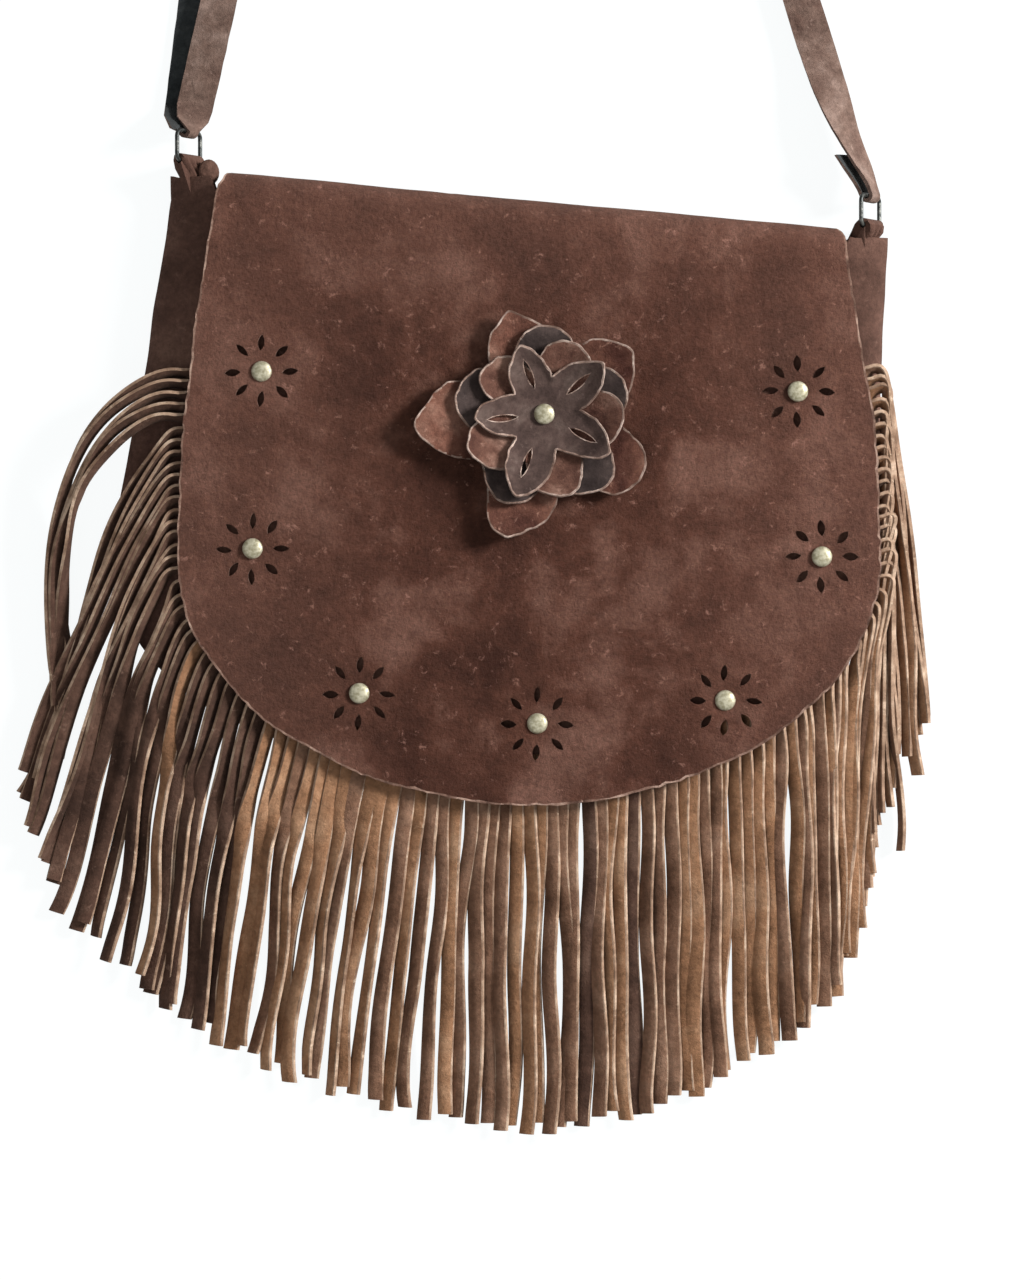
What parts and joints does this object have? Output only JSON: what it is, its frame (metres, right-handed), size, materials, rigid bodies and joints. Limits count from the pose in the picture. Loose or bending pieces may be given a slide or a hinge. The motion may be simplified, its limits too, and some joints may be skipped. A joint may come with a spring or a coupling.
{
  "type": "fringed suede shoulder bag",
  "caption": "Suede shoulder bag lying on its back, with a rounded fold-over flap, punched rosettes, a layered flower, a long cut fringe and a strap on wire rings.",
  "frame": {"origin": "middle of the back panel's outer face, on which the bag lies", "axes": "+X to the right across the flap, +Y from the fringe up to the strap, +Z out of the back panel towards the flap"},
  "size_m": [0.3753, 0.7937, 0.0378],
  "materials": {
    "body_suede": "brown suede, nap brushed",
    "flap_suede": "reddish brown suede with darker and lighter patches",
    "dark_leather": "dark smooth grain side of the hide",
    "fringe_suede": "mid brown suede with pale cut edges",
    "strap_suede": "greyish brown suede, dark slate back",
    "aged_brass": "aged brass, satin",
    "dark_metal": "blackened wire"
  },
  "bodies": {
    "bag": {"back_panel": "body_suede", "front_panel": "body_suede", "gusset": "body_suede", "fringe_left": "fringe_suede", "fringe_bottom": "fringe_suede", "fringe_right": "fringe_suede", "ring_left": "dark_metal", "ring_right": "dark_metal", "ring_tab_left": "body_suede", "ring_tab_right": "body_suede", "strap": "strap_suede", "strap_adjuster": "dark_metal"},
    "flap": {"flap": "flap_suede", "rosette_rivet_1": "aged_brass", "rosette_rivet_2": "aged_brass", "rosette_rivet_3": "aged_brass", "rosette_rivet_4": "aged_brass", "rosette_rivet_5": "aged_brass", "rosette_rivet_6": "aged_brass", "rosette_rivet_7": "aged_brass", "flower_layer_1": "flap_suede", "flower_layer_2": "dark_leather", "flower_layer_3": "flap_suede", "flower_layer_4": "dark_leather", "flower_rivet": "aged_brass"}
  },
  "joints": [
    {"name": "flap_hinge", "type": "hinge", "parent": "bag", "child": "flap", "pos_m": [0, 0.1228, 0.01235], "axis": [-0.9959, 0.0906, 0], "range_deg": [0, 115]}
  ]
}
